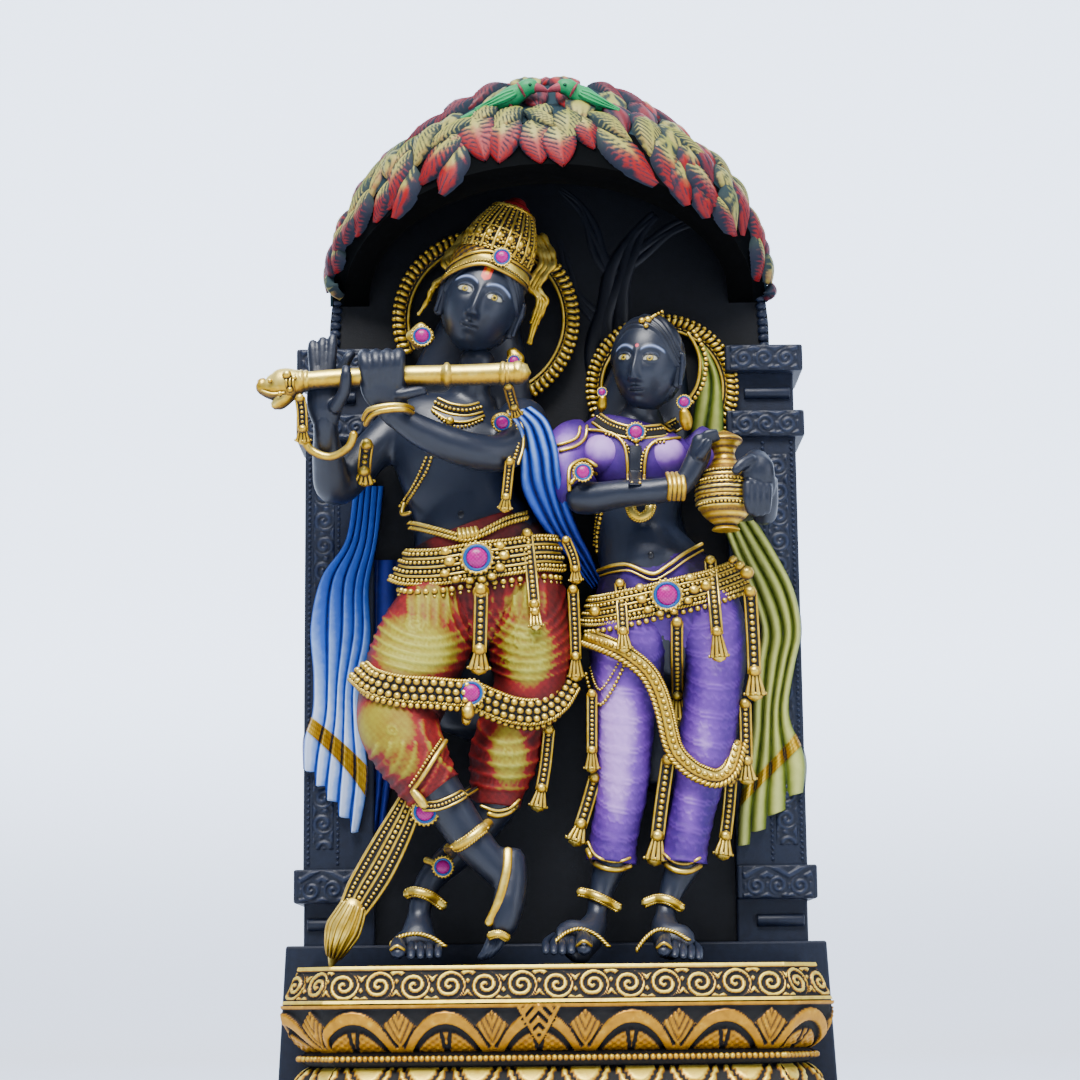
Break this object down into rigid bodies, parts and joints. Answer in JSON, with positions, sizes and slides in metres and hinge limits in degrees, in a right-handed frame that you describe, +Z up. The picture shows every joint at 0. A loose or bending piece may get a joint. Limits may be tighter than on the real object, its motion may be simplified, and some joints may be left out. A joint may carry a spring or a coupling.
{
  "type": "radha krishna statue",
  "caption": "Painted cast-resin relief statue: flute-playing Krishna and Radha with a water pot in an arched niche under a leafy hood, on a lotus base with a slab back.",
  "frame": {"origin": "middle of the flat underside, halfway between the front of the lotus base and the flat back", "axes": "+Z up, the figures face -Y, +X to the viewer's right when looking at them"},
  "size_m": [0.2846, 0.1252, 0.5354],
  "materials": {
    "dark_resin": "satin blue-black paint on stone-filled resin",
    "skin_paint": "satin slate-blue paint",
    "gold_paint": "dry-brushed gold paint over black",
    "red_yellow_paint": "matt red paint with yellow airbrushed highlights",
    "blue_paint": "matt blue paint with pale ridges",
    "purple_paint": "matt violet paint with lilac highlights",
    "green_paint": "matt green paint with pale ridges",
    "leaf_paint": "teal, yellow-green and red brushed paint",
    "gem_paint": "glossy pink and blue enamel"
  },
  "bodies": {
    "root": {"radha_krishna_statue": "dark_resin"}
  },
  "joints": []
}
